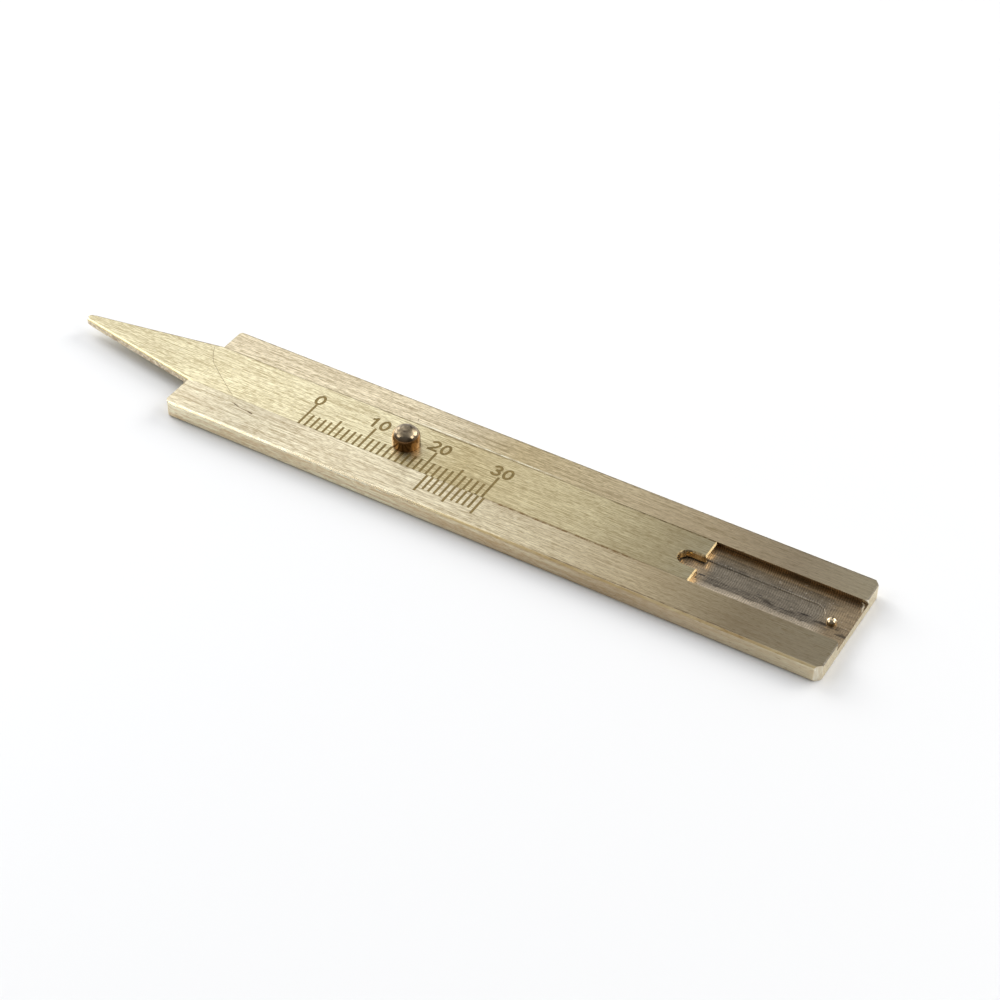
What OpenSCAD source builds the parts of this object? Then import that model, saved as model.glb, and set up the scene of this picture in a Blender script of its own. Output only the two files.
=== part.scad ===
// Sliding tread depth gauge in brass. A graduated blade with a pointed tip slides in a dovetail groove
// along a flat bar, and a vernier on the bar reads how far the tip stands out of the bar's front face.
// Sizes are in millimetres. The origin is the middle of the bar's underside and +Z is up. The scale
// reads along +X, and the tip leaves the bar towards -X.

/* [Reading] */
// Depth that the blade is set to, from the front face to the tip
reading = 21.4; // [0:0.1:30]
// Deepest reading, where the stud's tail meets the front end of its channel
reading_max = 30; // [30:1:36]

/* [Bar] */
// Length of the bar
bar_l = 102.1; // [96:0.1:120]
// Width of the bar
bar_w = 19; // [17:0.1:24]
// Thickness of the bar
bar_t = 2.6; // [2.3:0.1:4]
// Corner radius at the front end, seen from above
front_corner_r = 1.2; // [0.5:0.1:1.8]
// Corner chamfer at the rear end, seen from above
rear_corner_c = 0.9; // [0.3:0.1:1.5]
// Edge break along the long edges
edge_break = 0.25; // [0.1:0.05:0.4]
// Edge break across both ends
bar_end_break = 0.15; // [0.05:0.05:0.4]

/* [Blade] */
// Width of the blade's top face
blade_w = 8.6; // [7:0.1:10]
// Thickness of the blade
blade_t = 1.05; // [0.9:0.05:1.4]
// Angle of the dovetail flanks from the groove's floor
flank_angle = 60; // [50:1:75]
// Width of the rounded tip
tip_w = 1.3; // [0.8:0.1:2]
// Distance of the tip from the blade's axis, towards the plain rail
tip_shift = -0.1; // [-0.3:0.05:0.3]
// Length of the point, from the tip to the blade's full top width
taper_l = 21; // [16:0.1:26]
// Depth of the blade's rear end inside the bar at zero
blade_inset = 0.2; // [0:0.1:1.5]
// Chamfer of the top edges at the blade's rear end and around its notch
end_break = 0.2; // [0.1:0.05:0.3]

/* [Groove] */
// Distance of the groove's axis from the bar's middle, towards the plain rail
groove_shift = 0.65; // [0:0.05:1.5]
// Gap between each flank of the blade and the groove, measured across
side_gap = 0.05; // [0.03:0.01:0.1]
// Gap under the blade
floor_gap = 0.05; // [0.03:0.01:0.1]
// Lead-in chamfer of both rails at the groove's rear end
lead_in = 0.4; // [0.2:0.1:0.8]

/* [Channel] */
// Depth of the channel below the groove's floor
channel_depth = 0.2; // [0.2:0.05:0.5]
// Width of the channel
channel_w = 4; // [3:0.1:5]
// Distance of the channel's axis from the groove's axis, towards the plain rail
channel_shift = -0.25; // [-0.5:0.05:0.5]
// Distance from the channel's round rear end to the bar's rear face
channel_inset = 4; // [3.8:0.1:8]

/* [Thumb stud] */
// Distance of the stud from the tip
stud_from_tip = 55.8; // [50:0.1:60]
// Distance of the stud from the blade's axis, towards the plain rail
stud_shift = -0.15; // [-0.3:0.05:0.3]
// Diameter of the knob
knob_d = 4; // [3:0.1:5]
// Height of the knob above the blade
knob_h = 2.9; // [2.4:0.1:3.4]
// Radius of the knob's domed top
knob_dome_r = 3.2; // [2.8:0.1:6]
// Radius that blends the dome into the side
knob_blend_r = 0.7; // [0.3:0.1:1]
// Diameter of the shank that is pressed through the blade
shank_d = 1.7; // [1.4:0.1:2.2]
// Gap under the tail
tail_end_gap = 0.08; // [0.05:0.01:0.15]

/* [Zero stop] */
// Diameter of the stop pin
pin_d = 1.35; // [1:0.05:1.6]
// Height of the pin's straight side above the groove's floor
pin_side_h = 0.55; // [0.1:0.05:0.65]
// Height of the pin's dome
pin_dome_h = 0.35; // [0.2:0.05:0.4]
// Depth of the pin's seat in the bar
pin_seat = 1; // [0.6:0.1:1.2]
// Distance of the pin from the bar's rear face
pin_inset = 2.7; // [2.4:0.05:3]
// Distance of the pin from the bar's middle, towards the plain rail
pin_shift = -0.05; // [-0.3:0.05:0.5]
// Width of the notch in the blade's rear end
notch_w = 2.6; // [2.4:0.05:3.2]
// Distance of the notch's axis from the bar's middle, towards the plain rail
notch_shift = 0.3; // [-0.3:0.05:0.4]
// Gap that is left at a stop, at either end of the travel
stop_gap = 0.03; // [0.02:0.01:0.06]

/* [Friction spring] */
// Thickness of the leaf
spring_t = 0.15; // [0.1:0.01:0.2]
// Length of the leaf
spring_l = 22; // [16:1:28]
// Distance from the stud to the middle of the leaf
spring_from_stud = 17.5; // [16:0.5:22]
// Depth of the leaf's pocket in the blade's underside
pocket_depth = 0.4; // [0.3:0.05:0.5]
// Gap between the leaf and the channel's walls
spring_side_gap = 0.3; // [0.2:0.05:0.5]
// Gap between the leaf's ends and sides and its pocket
pocket_gap = 0.1; // [0.05:0.01:0.2]
// Gap between the leaf and the surfaces that it bears on
spring_gap = 0.03; // [0.02:0.01:0.05]

/* [Scale] */
// Distance from the tip to the scale's zero, and from the front face to the vernier's zero
scale_from_tip = 40.5; // [36:0.1:44]
// Divisions on the scale
scale_divisions = 30; // [10:10:30]
// Distance between the scale's lines
scale_pitch = 1; // [1:0.1:1.2]
// Divisions on the vernier
vernier_divisions = 10; // [5:5:10]
// Width of a line
line_w = 0.38; // [0.2:0.01:0.45]
// Depth of a line
line_depth = 0.06; // [0.04:0.01:0.1]
// Length of a plain line on the scale
line_l = 2.55; // [1.5:0.05:3]
// Length of every fifth line on the scale
five_line_l = 3.5; // [2:0.1:4]
// Length of every tenth line on the scale
ten_line_l = 4.65; // [3:0.05:5.5]
// Length of a plain line on the vernier
vernier_line_l = 2.8; // [1.5:0.05:3.5]
// Length of every fifth line on the vernier
vernier_five_line_l = 3.6; // [2:0.05:4.5]

/* [Hidden] */
$fn = 96;

// Overlap of a cut past the face that it opens
over = 1;
// Sides of the circles that the leaf's shallow arcs are cut from
leaf_fn = 1440;
bar_brass = [0.74, 0.68, 0.53];
blade_brass = [0.80, 0.74, 0.55];
stud_bronze = [0.55, 0.42, 0.27];
spring_bronze = [0.66, 0.50, 0.32];

// Levels
blade_z = bar_t - blade_t;
floor_z = blade_z - floor_gap;
channel_z = floor_z - channel_depth;

// Ends of the bar, and of the blade at the reading
front_x = -bar_l / 2;
rear_x = bar_l / 2;
tip_x = front_x - reading;
blade_rear_x = rear_x - blade_inset - reading;

// Widths across the groove, at the top face and at the bottom of the blade and the groove
blade_base_w = blade_w + 2 * blade_t / tan(flank_angle);
mouth_w = blade_w + 2 * side_gap;
groove_base_w = mouth_w + 2 * (bar_t - floor_z) / tan(flank_angle);

// The pin meets the notch's round end at zero, off the notch's axis
pin_x = rear_x - pin_inset;
pin_dome_r = (pow(pin_d / 2, 2) + pow(pin_dome_h, 2)) / (2 * pin_dome_h);
pin_reach = sqrt(pow(notch_w / 2 - pin_d / 2, 2) - pow(notch_shift - pin_shift, 2));
notch_x = pin_x + pin_reach - stop_gap - reading;

// The tail runs in the channel, and meets its front end at the deepest reading, off the channel's axis
stud_x = tip_x + stud_from_tip;
stud_y = groove_shift + stud_shift;
channel_y = groove_shift + channel_shift;
tail_offset = channel_y - stud_y;
tail_reach = sqrt(pow(channel_w / 2 - shank_d / 2, 2) - pow(tail_offset, 2));
stud_front_x = stud_x - (reading_max - reading);
channel_front_x = stud_front_x - stop_gap + tail_reach - channel_w / 2;
channel_rear_x = rear_x - channel_inset;

// The leaf is an arc whose middle bears on the channel and whose ends bear on the pocket
spring_x = stud_x + spring_from_stud;
spring_w = channel_w - 2 * spring_side_gap;
pocket_z = blade_z + pocket_depth;
spring_rise = pocket_z - channel_z - 2 * spring_gap - spring_t;
spring_inner_r = (pow(spring_l / 2, 2) + pow(spring_rise, 2)) / (2 * spring_rise);

// Lines of the vernier are a tenth of a division closer than those of the scale
scale_x = tip_x + scale_from_tip;
vernier_x = front_x + scale_from_tip;
vernier_pitch = scale_pitch * (1 - 1 / vernier_divisions);

// Sides of the point: each runs from the round tip through the end of the full top width
tip_r = tip_w / 2;
function point_rise(side) = blade_w / 2 - side * tip_shift;
function point_slope(side) = atan2(point_rise(side), taper_l - tip_r)
    - asin(tip_r / norm([taper_l - tip_r, point_rise(side)]));
function point_start(side) = [tip_x + tip_r - tip_r * sin(point_slope(side)),
    tip_shift + side * tip_r * cos(point_slope(side))];
function point_end(side) = [tip_x + taper_l + (blade_base_w - blade_w) / 2 / tan(point_slope(side)),
    side * blade_base_w / 2];

// Carries a profile drawn in Y and Z along X
module along_x(from, to) {
    translate([from, 0, 0]) rotate([90, 0, 90]) linear_extrude(to - from) children();
}

// Carries a profile drawn in X and Z along Y, as far to each side
module along_y(width) {
    rotate([90, 0, 0]) linear_extrude(width, center = true) children();
}

// Slot with round ends, from apex to apex
module slot_plan(from, to, width) {
    translate([from + width / 2, -width / 2]) square([to - from - width, width]);
    for (x = [from + width / 2, to - width / 2]) translate([x, 0]) circle(d = width);
}

// One engraved line, which starts at the groove and runs along Y
module line_cut(x, y, length) {
    low_y = min(y, y + length);
    translate([x - line_w / 2, low_y, bar_t - line_depth]) cube([line_w, abs(length), line_depth + over]);
}

// Section of the bar with its edges broken, as far to each side
module bar_profile(half, cut) {
    polygon([
        [-half + cut, 0], [half - cut, 0], [half, cut], [half, bar_t - cut],
        [half - cut, bar_t], [-half + cut, bar_t], [-half, bar_t - cut], [-half, cut]
    ]);
}

// Bar from above, with round front corners and chamfered rear corners
module bar_outline() {
    half_w = bar_w / 2;
    polygon([
        [front_x + front_corner_r, -half_w], [rear_x - rear_corner_c, -half_w],
        [rear_x, -half_w + rear_corner_c], [rear_x, half_w - rear_corner_c],
        [rear_x - rear_corner_c, half_w], [front_x + front_corner_r, half_w]
    ]);
    translate([front_x, -half_w + front_corner_r]) square([2 * front_corner_r, bar_w - 2 * front_corner_r]);
    for (side = [-1, 1]) {
        translate([front_x + front_corner_r, side * (half_w - front_corner_r)]) circle(front_corner_r);
    }
}

module groove_profile() {
    translate([groove_shift, 0]) polygon([
        [-groove_base_w / 2, floor_z], [groove_base_w / 2, floor_z],
        [mouth_w / 2, bar_t], [mouth_w / 2, bar_t + over],
        [-mouth_w / 2, bar_t + over], [-mouth_w / 2, bar_t]
    ]);
}

// The rails open out at the groove's rear end
module lead_in_cut() {
    half_w = mouth_w / 2;
    translate([0, groove_shift, floor_z]) linear_extrude(bar_t - floor_z + over) polygon([
        [rear_x - lead_in, -half_w], [rear_x, -half_w - lead_in],
        [rear_x + over, -half_w - lead_in], [rear_x + over, half_w + lead_in],
        [rear_x, half_w + lead_in], [rear_x - lead_in, half_w]
    ]);
}

module vernier_lines() {
    for (i = [0 : vernier_divisions]) {
        length = i % 5 == 0 ? vernier_five_line_l : vernier_line_l;
        line_cut(vernier_x + i * vernier_pitch, groove_shift - mouth_w / 2 + side_gap, -length - side_gap);
    }
}

module bar_body() {
    color(bar_brass) difference() {
        intersection() {
            along_x(front_x, rear_x) bar_profile(bar_w / 2, edge_break);
            along_y(bar_w) bar_profile(bar_l / 2, bar_end_break);
            linear_extrude(bar_t) bar_outline();
        }
        along_x(front_x - over, rear_x + over) groove_profile();
        lead_in_cut();
        translate([0, channel_y, channel_z]) {
            linear_extrude(channel_depth + over) slot_plan(channel_front_x, channel_rear_x, channel_w);
        }
        translate([pin_x, pin_shift, floor_z - pin_seat]) cylinder(d = pin_d, h = pin_seat + over);
        vernier_lines();
    }
}

module blade_profile() {
    translate([groove_shift, 0]) polygon([
        [-blade_base_w / 2, blade_z], [blade_base_w / 2, blade_z],
        [blade_w / 2, bar_t], [-blade_w / 2, bar_t]
    ]);
}

module blade_outline() {
    base_y = blade_base_w / 2;
    translate([0, groove_shift]) {
        polygon([
            point_start(-1), point_end(-1), [blade_rear_x, -base_y],
            [blade_rear_x, base_y], point_end(1), point_start(1)
        ]);
        translate([tip_x + tip_r, tip_shift]) circle(tip_r);
    }
}

// Chamfers of the top edges around the notch and across the rear end
module end_break_cut() {
    low_z = bar_t - end_break;
    rise = end_break + over;
    notch_r = notch_w / 2;
    translate([notch_x, notch_shift, low_z]) cylinder(r1 = notch_r, r2 = notch_r + rise, h = rise);
    along_x(notch_x, blade_rear_x + over) translate([notch_shift, low_z]) {
        polygon([[-notch_r, 0], [notch_r, 0], [notch_r + rise, rise], [-notch_r - rise, rise]]);
    }
    along_y(bar_w) translate([blade_rear_x, low_z]) {
        polygon([[over, -over], [over, rise], [-rise, rise]]);
    }
}

module scale_lines() {
    for (i = [0 : scale_divisions]) {
        length = i % 10 == 0 ? ten_line_l : i % 5 == 0 ? five_line_l : line_l;
        line_cut(scale_x + i * scale_pitch, groove_shift - blade_w / 2 - side_gap, length + side_gap);
    }
}

module scale_blade() {
    pocket_l = spring_l + 2 * pocket_gap;
    pocket_w = spring_w + 2 * pocket_gap;
    color(blade_brass) difference() {
        intersection() {
            along_x(tip_x, blade_rear_x) blade_profile();
            translate([0, 0, blade_z]) linear_extrude(blade_t) blade_outline();
        }
        translate([0, notch_shift, blade_z - over]) linear_extrude(blade_t + 2 * over) {
            slot_plan(notch_x - notch_w / 2, blade_rear_x + notch_w, notch_w);
        }
        end_break_cut();
        translate([stud_x, stud_y, blade_z - over]) cylinder(d = shank_d, h = blade_t + 2 * over);
        translate([spring_x - pocket_l / 2, channel_y - pocket_w / 2, blade_z - over]) {
            cube([pocket_l, pocket_w, pocket_depth + over]);
        }
        scale_lines();
    }
}

// Half of the knob: a straight side, a blend and a dome that meet without an edge
module knob_half() {
    knob_r = knob_d / 2;
    dome_z = knob_h - knob_dome_r;
    blend_x = knob_r - knob_blend_r;
    blend_z = dome_z + sqrt(pow(knob_dome_r - knob_blend_r, 2) - pow(blend_x, 2));
    fan = 2 * knob_dome_r / (knob_dome_r - knob_blend_r);
    square([knob_r, blend_z]);
    intersection() {
        translate([blend_x, blend_z]) circle(knob_blend_r);
        translate([0, blend_z - knob_blend_r]) square([knob_r, 2 * knob_blend_r]);
    }
    intersection() {
        translate([0, dome_z]) circle(knob_dome_r);
        polygon([[0, 0], [blend_x, 0], [blend_x, blend_z], [blend_x * fan, dome_z + (blend_z - dome_z) * fan],
            [0, dome_z + 2 * knob_dome_r]]);
    }
}

module thumb_stud() {
    shank_z = channel_z + tail_end_gap;
    color(stud_bronze) translate([stud_x, stud_y, 0]) {
        translate([0, 0, bar_t]) rotate_extrude() knob_half();
        translate([0, 0, shank_z]) cylinder(d = shank_d, h = bar_t - shank_z);
    }
}

module zero_stop_pin() {
    side_z = floor_z + pin_side_h;
    color(stud_bronze) translate([pin_x, pin_shift, 0]) {
        translate([0, 0, floor_z - pin_seat]) cylinder(d = pin_d, h = pin_seat + pin_side_h);
        translate([0, 0, side_z]) rotate_extrude() intersection() {
            translate([0, pin_dome_h - pin_dome_r]) circle(pin_dome_r);
            square([pin_d / 2, pin_dome_h]);
        }
    }
}

module friction_spring() {
    crown_z = channel_z + spring_gap;
    outer_r = spring_inner_r + spring_t;
    color(spring_bronze) translate([spring_x, channel_y, crown_z]) rotate([90, 0, 0]) {
        linear_extrude(spring_w, center = true) difference() {
            intersection() {
                translate([0, outer_r]) circle(outer_r, $fn = leaf_fn);
                translate([-spring_l / 2, 0]) square([spring_l, spring_rise + spring_t]);
            }
            translate([0, outer_r]) circle(spring_inner_r, $fn = leaf_fn);
        }
    }
}

bar_body();
scale_blade();
thumb_stud();
zero_stop_pin();
friction_spring();
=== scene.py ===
import math

import bmesh
import bpy
from mathutils import Euler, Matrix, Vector, noise


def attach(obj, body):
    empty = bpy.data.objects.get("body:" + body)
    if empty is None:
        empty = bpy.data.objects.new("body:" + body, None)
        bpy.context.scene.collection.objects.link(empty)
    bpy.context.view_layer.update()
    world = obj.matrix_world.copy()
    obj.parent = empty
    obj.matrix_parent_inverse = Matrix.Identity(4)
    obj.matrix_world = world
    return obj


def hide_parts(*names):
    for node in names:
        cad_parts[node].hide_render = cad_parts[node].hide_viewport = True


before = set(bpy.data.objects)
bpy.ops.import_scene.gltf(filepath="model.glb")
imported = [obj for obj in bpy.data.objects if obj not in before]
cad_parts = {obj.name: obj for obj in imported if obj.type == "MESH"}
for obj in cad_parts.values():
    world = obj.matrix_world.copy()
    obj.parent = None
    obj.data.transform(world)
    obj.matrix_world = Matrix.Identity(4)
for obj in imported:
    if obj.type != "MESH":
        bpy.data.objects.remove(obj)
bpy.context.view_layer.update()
scene = bpy.context.scene
mm = 0.001

# places along the bar that several pieces share, in millimetres
layout = {
    "topZ": 2.6,           # top face of bar and blade
    "floorZ": 1.5,         # floor of the groove
    "bladeZ": 1.55,        # underside of the blade
    "grooveY": 0.65,       # axis of the groove and blade
    "bladeWidth": 8.6,     # top face of the blade
    "mouthWidth": 8.7,     # groove at the top face
    "frontX": -51.05,      # ends of the bar
    "rearX": 51.05,
    "bladeRearX": 29.45,   # rear end of the blade
    "channelY": 0.4,       # channel in the groove's floor
    "channelWidth": 4.0,
    "channelRearX": 47.05,
    "scaleZeroX": -31.95,  # first lines of the scale and the vernier
    "vernierZeroX": -10.55,
    "studPlace": (-16.65, 0.5),
    "pinPlace": (48.35, -0.05),
}


# node helper: a socket as a value makes a link, anything else is set on the socket
def put(tree, kind, inputs=None, **settings):
    node = tree.nodes.new(kind)
    for key, value in settings.items():
        setattr(node, key, value)
    for key, value in (inputs or {}).items():
        if isinstance(value, bpy.types.NodeSocket):
            tree.links.new(value, node.inputs[key])
        else:
            node.inputs[key].default_value = value
    return node


def calc(tree, operation, a, b=0.0):
    return put(tree, "ShaderNodeMath", {0: a, 1: b}, operation=operation).outputs[0]


def remap(tree, value, fromLow, fromHigh, toLow, toHigh, kind="LINEAR"):
    inputs = {0: value, 1: fromLow, 2: fromHigh, 3: toLow, 4: toHigh}
    return put(tree, "ShaderNodeMapRange", inputs, interpolation_type=kind).outputs[0]


def blend(tree, factor, a, b, mode="MIX"):
    inputs = {0: factor, 6: a, 7: b}
    return put(tree, "ShaderNodeMix", inputs, data_type="RGBA", blend_type=mode).outputs[2]


# sum of (value, share) pairs
def mixed(tree, parts):
    total = None
    for value, share in parts:
        part = calc(tree, "MULTIPLY", value, share)
        total = part if total is None else calc(tree, "ADD", total, part)
    return total


def grain(tree, coords, scale, detail=4.0, rough=0.6, shift=(0.0, 0.0, 0.0)):
    mapped = put(tree, "ShaderNodeMapping", {"Vector": coords, "Location": shift, "Scale": scale})
    inputs = {"Vector": mapped.outputs[0], "Scale": 1.0, "Detail": detail, "Roughness": rough}
    return put(tree, "ShaderNodeTexNoise", inputs).outputs[0]


# 1 within halfWidth of a line at place, 0 beyond fade, both in millimetres
def nearLine(tree, value, place, halfWidth, fade):
    away = calc(tree, "ABSOLUTE", calc(tree, "SUBTRACT", value, place * mm))
    return remap(tree, away, halfWidth * mm, fade * mm, 1.0, 0.0)


# a colour, or a grey from one number
def color(rgb):
    return (rgb[0], rgb[1], rgb[2], 1.0) if isinstance(rgb, tuple) else (rgb, rgb, rgb, 1.0)


# colour by place along an axis, from stops of (millimetres, colour)
def bands(tree, value, stops):
    low, high = stops[0][0], stops[-1][0]
    ramp = put(tree, "ShaderNodeValToRGB", {0: remap(tree, value, low * mm, high * mm, 0.0, 1.0)})
    elements = ramp.color_ramp.elements
    while len(elements) < len(stops):
        elements.new(0.5)
    for element, (place, rgb) in zip(elements, stops):
        element.position = (place - low) / (high - low)
        element.color = color(rgb)
    return ramp.outputs[0]


def startMaterial(name, metallic, anisotropic=0.0):
    material = bpy.data.materials.new(name)
    material.use_nodes = True
    tree = material.node_tree
    shader = tree.nodes["Principled BSDF"]
    shader.inputs["Metallic"].default_value = metallic
    shader.inputs["Anisotropic"].default_value = anisotropic
    coords = put(tree, "ShaderNodeTexCoord").outputs["Object"]
    return material, tree, shader, coords


def bumpFrom(tree, shader, height, strength, distance):
    bump = put(tree, "ShaderNodeBump", {"Strength": strength, "Distance": distance * mm, "Height": height})
    tree.links.new(bump.outputs[0], shader.inputs["Normal"])


# ends of the brushing's fade and of the edges' shine along X, and the widths of the seams and painted
# lines, in millimetres
brushSet = {
    "holdFrom": -25.0, "holdTo": 40.0, "dullFrom": -8.0, "dullTo": 28.0,
    "lineHalf": 0.04, "lineFade": 0.13, "lineRunOut": 3.0,
}


# brass brushed along X: straight lines broken into dashes, finer scratches, pale and brown flecks, stains
def brushedBrass(name, look):
    b = brushSet
    material, tree, shader, coords = startMaterial(name, 1.0, look["stretch"])
    place = put(tree, "ShaderNodeSeparateXYZ", {0: coords})
    x, y = place.outputs[0], place.outputs[1]
    lines = grain(tree, coords, look["lineScale"], 2.0, 0.55)
    dashes = grain(tree, coords, look["dashScale"], 2.0, 0.5, (3.1, 0.7, 0.2))
    fine = grain(tree, coords, look["fineScale"], 3.0, 0.6, (0.6, 2.3, 1.1))
    broad = grain(tree, coords, look["broadScale"], 2.0, 0.5, (1.3, 4.1, 0.9))
    hold = remap(tree, x, b["holdFrom"] * mm, b["holdTo"] * mm, 1.0, look["rearHold"])
    weight = remap(tree, dashes, 0.35, 0.65, 0.2, 1.6)
    cuts = calc(tree, "MULTIPLY", calc(tree, "SUBTRACT", lines, 0.5), weight)
    loose = calc(tree, "ADD", mixed(tree, [(cuts, 0.6), (fine, 0.66), (broad, 0.12)]), -0.39)
    strokes = calc(tree, "ADD", calc(tree, "MULTIPLY", loose, hold), 0.5)
    shade = remap(tree, strokes, 0.38, 0.62, 0.0, 1.0)
    tone = blend(tree, shade, color(look["dark"]), color(look["light"]))
    stain = grain(tree, coords, look["stainScale"], 3.0, 0.6, (0.4, 5.2, 1.7))
    tone = blend(tree, remap(tree, stain, 0.45, 0.75, 0.0, look["stainAmount"]), tone, color(look["stain"]))
    fleck = grain(tree, coords, look["fleckScale"], 2.0, 0.5, (7.7, 2.2, 0.4))
    tone = blend(tree, remap(tree, fleck, 0.66, 0.76, 0.0, 0.7), tone, color(look["pale"]))
    tone = blend(tree, remap(tree, fleck, look["brownFrom"], 0.29, 0.0, 0.6), tone, color(look["brown"]))
    broken = grain(tree, coords, (1200, 300, 300), 3.0, 0.7, (0.2, 0.2, 9.0))
    # painted shade with tarnish: the ramp along X darkens the colour towards the rear, where the reflection
    # grows dimmer
    tone = blend(tree, 1.0, tone, bands(tree, x, look["wearAndShade"]), "MULTIPLY")
    # dark seams, and painted lines: shade along an outer edge and a highlight beside a lip
    for line, fromX, toX, amount, rgb in look["seamsAndPaintedLines"]:
        begun = remap(tree, x, fromX * mm, (fromX + b["lineRunOut"]) * mm, 0.0, 1.0)
        ended = remap(tree, x, (toX - b["lineRunOut"]) * mm, toX * mm, 1.0, 0.0)
        there = calc(tree, "MULTIPLY", begun, ended)
        spots = calc(tree, "MULTIPLY", there, remap(tree, broken, 0.42, 0.56, amount * 0.35, amount))
        seamAndPaintedLine = calc(tree, "MULTIPLY", nearLine(tree, y, line, b["lineHalf"], b["lineFade"]), spots)
        tone = blend(tree, seamAndPaintedLine, tone, color(rgb))
    tree.links.new(tone, shader.inputs["Base Color"])
    rough = remap(tree, strokes, 0.35, 0.65, look["roughHigh"], look["roughLow"])
    dull = remap(tree, x, b["dullFrom"] * mm, b["dullTo"] * mm, 0.0, look["dullRear"])
    tree.links.new(calc(tree, "ADD", rough, dull), shader.inputs["Roughness"])
    bumpFrom(tree, shader, strokes, look["bump"], 0.02)
    facing = put(tree, "ShaderNodeNewGeometry").outputs["True Normal"]
    alongBar = put(tree, "ShaderNodeVectorMath", {0: facing, 1: (0.0, 0.8, 0.6)}, operation="CROSS_PRODUCT")
    shader.inputs["Anisotropic Rotation"].default_value = 0.25
    tree.links.new(alongBar.outputs[0], shader.inputs["Tangent"])
    return material


# lines along the bar are (Y, from X, to X, amount, colour): dark seams, and painted lines of shade and
# highlight; the ramp along X is (X, share of the colour), tarnish together with painted shade
barLook = {
    "dark": (0.45, 0.36, 0.21), "light": (1.0, 0.86, 0.59),
    "stain": (0.60, 0.485, 0.32), "stainAmount": 0.35,
    "pale": (1.0, 0.93, 0.74), "brown": (0.33, 0.235, 0.115), "brownFrom": 0.38,
    "lineScale": (120, 5600, 5600), "dashScale": (420, 2400, 2400), "fineScale": (1000, 6800, 6800),
    "broadScale": (70, 800, 800), "stainScale": (70, 260, 260), "fleckScale": (900, 7200, 7200),
    # at Y 9.2 a dark painted shade line along the far outer edge, at Y 5.24 a pale painted highlight beside
    # the far lip
    "seamsAndPaintedLines": [(9.2, -54.0, 54.0, 1.0, (0.24, 0.19, 0.12)), (5.24, -19.0, 6.0, 1.0, (1.0, 0.94, 0.72))],
    "wearAndShade": [(-51.0, 0.87), (-36.0, 0.95), (-20.0, 1.0), (-12.0, 0.96),
             (-2.0, (0.79, 0.745, 0.63)), (8.0, (0.88, 0.85, 0.77)), (16.0, (0.94, 0.915, 0.86)),
             (28.0, (0.87, 0.83, 0.79)), (40.0, (0.70, 0.67, 0.67)), (50.0, (0.87, 0.89, 0.92))],
    "rearHold": 0.55, "dullRear": 0.0, "roughLow": 0.28, "roughHigh": 0.44, "bump": 0.35, "stretch": 0.45,
}
# the near rail's own copy of the brass, with darker painted shade towards the rear in its ramp
nearLook = dict(barLook, rearHold=0.6, dark=(0.50, 0.40, 0.24), light=(1.0, 0.895, 0.63),
                seamsAndPaintedLines=[(-3.79, -2.0, 24.0, 1.0, (0.24, 0.13, 0.04)),
                       (-9.14, 8.0, 42.0, 0.85, (0.19, 0.13, 0.075))],
                wearAndShade=[(-51.0, 0.92), (-40.0, 0.80), (-27.0, 0.98), (-8.0, 1.0), (10.0, (0.96, 0.94, 0.90)),
                      (24.0, (0.82, 0.77, 0.70)), (38.0, (0.54, 0.50, 0.46)), (48.0, (0.60, 0.585, 0.575))])
bladeLook = dict(barLook, dark=(0.50, 0.41, 0.225), light=(1.0, 0.90, 0.59), stain=(0.64, 0.54, 0.34),
                 pale=(1.0, 0.95, 0.75), brown=(0.37, 0.265, 0.12), brownFrom=0.41,
                 lineScale=(130, 5800, 5800), dashScale=(460, 2600, 2600), stainScale=(110, 380, 380),
                 seamsAndPaintedLines=[(-3.60, -2.0, 22.0, 0.7, (0.28, 0.17, 0.06)),
                        (4.90, -50.0, -24.0, 0.35, (0.18, 0.11, 0.04)),
                        (4.88, -25.0, -4.0, 0.8, (0.24, 0.16, 0.06)),
                        (4.88, 12.0, 33.0, 0.9, (0.15, 0.09, 0.03))],
                 wearAndShade=[(-72.5, 0.74), (-56.0, 0.84), (-46.0, 0.96), (-20.0, 1.0),
                       (-8.0, (0.80, 0.75, 0.65)), (-2.0, (0.86, 0.82, 0.74)), (12.0, (0.90, 0.88, 0.83)),
                       (24.0, (0.66, 0.63, 0.58)), (30.0, 0.62)],
                 rearHold=0.7, roughLow=0.32, roughHigh=0.48)
sideLook = dict(barLook, dark=(0.76, 0.60, 0.37), light=(1.0, 0.95, 0.72), stain=(0.70, 0.55, 0.36),
                stainAmount=0.5, pale=(1.0, 0.94, 0.76), brown=(0.42, 0.31, 0.17), seamsAndPaintedLines=[],
                wearAndShade=[(-51.0, 0.84), (-49.6, 1.0), (-20.0, 0.98), (4.0, (0.78, 0.73, 0.685)),
                      (18.0, (0.635, 0.575, 0.525)), (32.0, (0.62, 0.56, 0.52)), (44.0, (0.70, 0.68, 0.66)),
                      (51.0, 0.84)],
                lineScale=(60, 3000, 3000), stainScale=(36, 1500, 1500), roughLow=0.34, roughHigh=0.52)
edgeLook = dict(barLook, dark=(0.86, 0.73, 0.48), light=(1.0, 0.95, 0.76), stain=(0.60, 0.42, 0.21),
                stainAmount=0.5, pale=(1.0, 0.97, 0.84), brown=(0.50, 0.32, 0.14), seamsAndPaintedLines=[],
                wearAndShade=[(-51.0, 1.0), (-16.0, 0.95), (-4.0, (0.90, 0.82, 0.64)), (14.0, (0.68, 0.59, 0.43)),
                      (51.0, (0.76, 0.70, 0.57))],
                stainScale=(130, 300, 300), dullRear=0.36, roughLow=0.22, roughHigh=0.30, bump=0.12)
# dark edge colour: painted shade as a dark outline on far and front edges and over the rear top edges, with
# dirt on the front edges
shadeLook = dict(barLook, dark=(0.20, 0.17, 0.125), light=(0.42, 0.36, 0.26), seamsAndPaintedLines=[], stainAmount=0.2)


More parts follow.
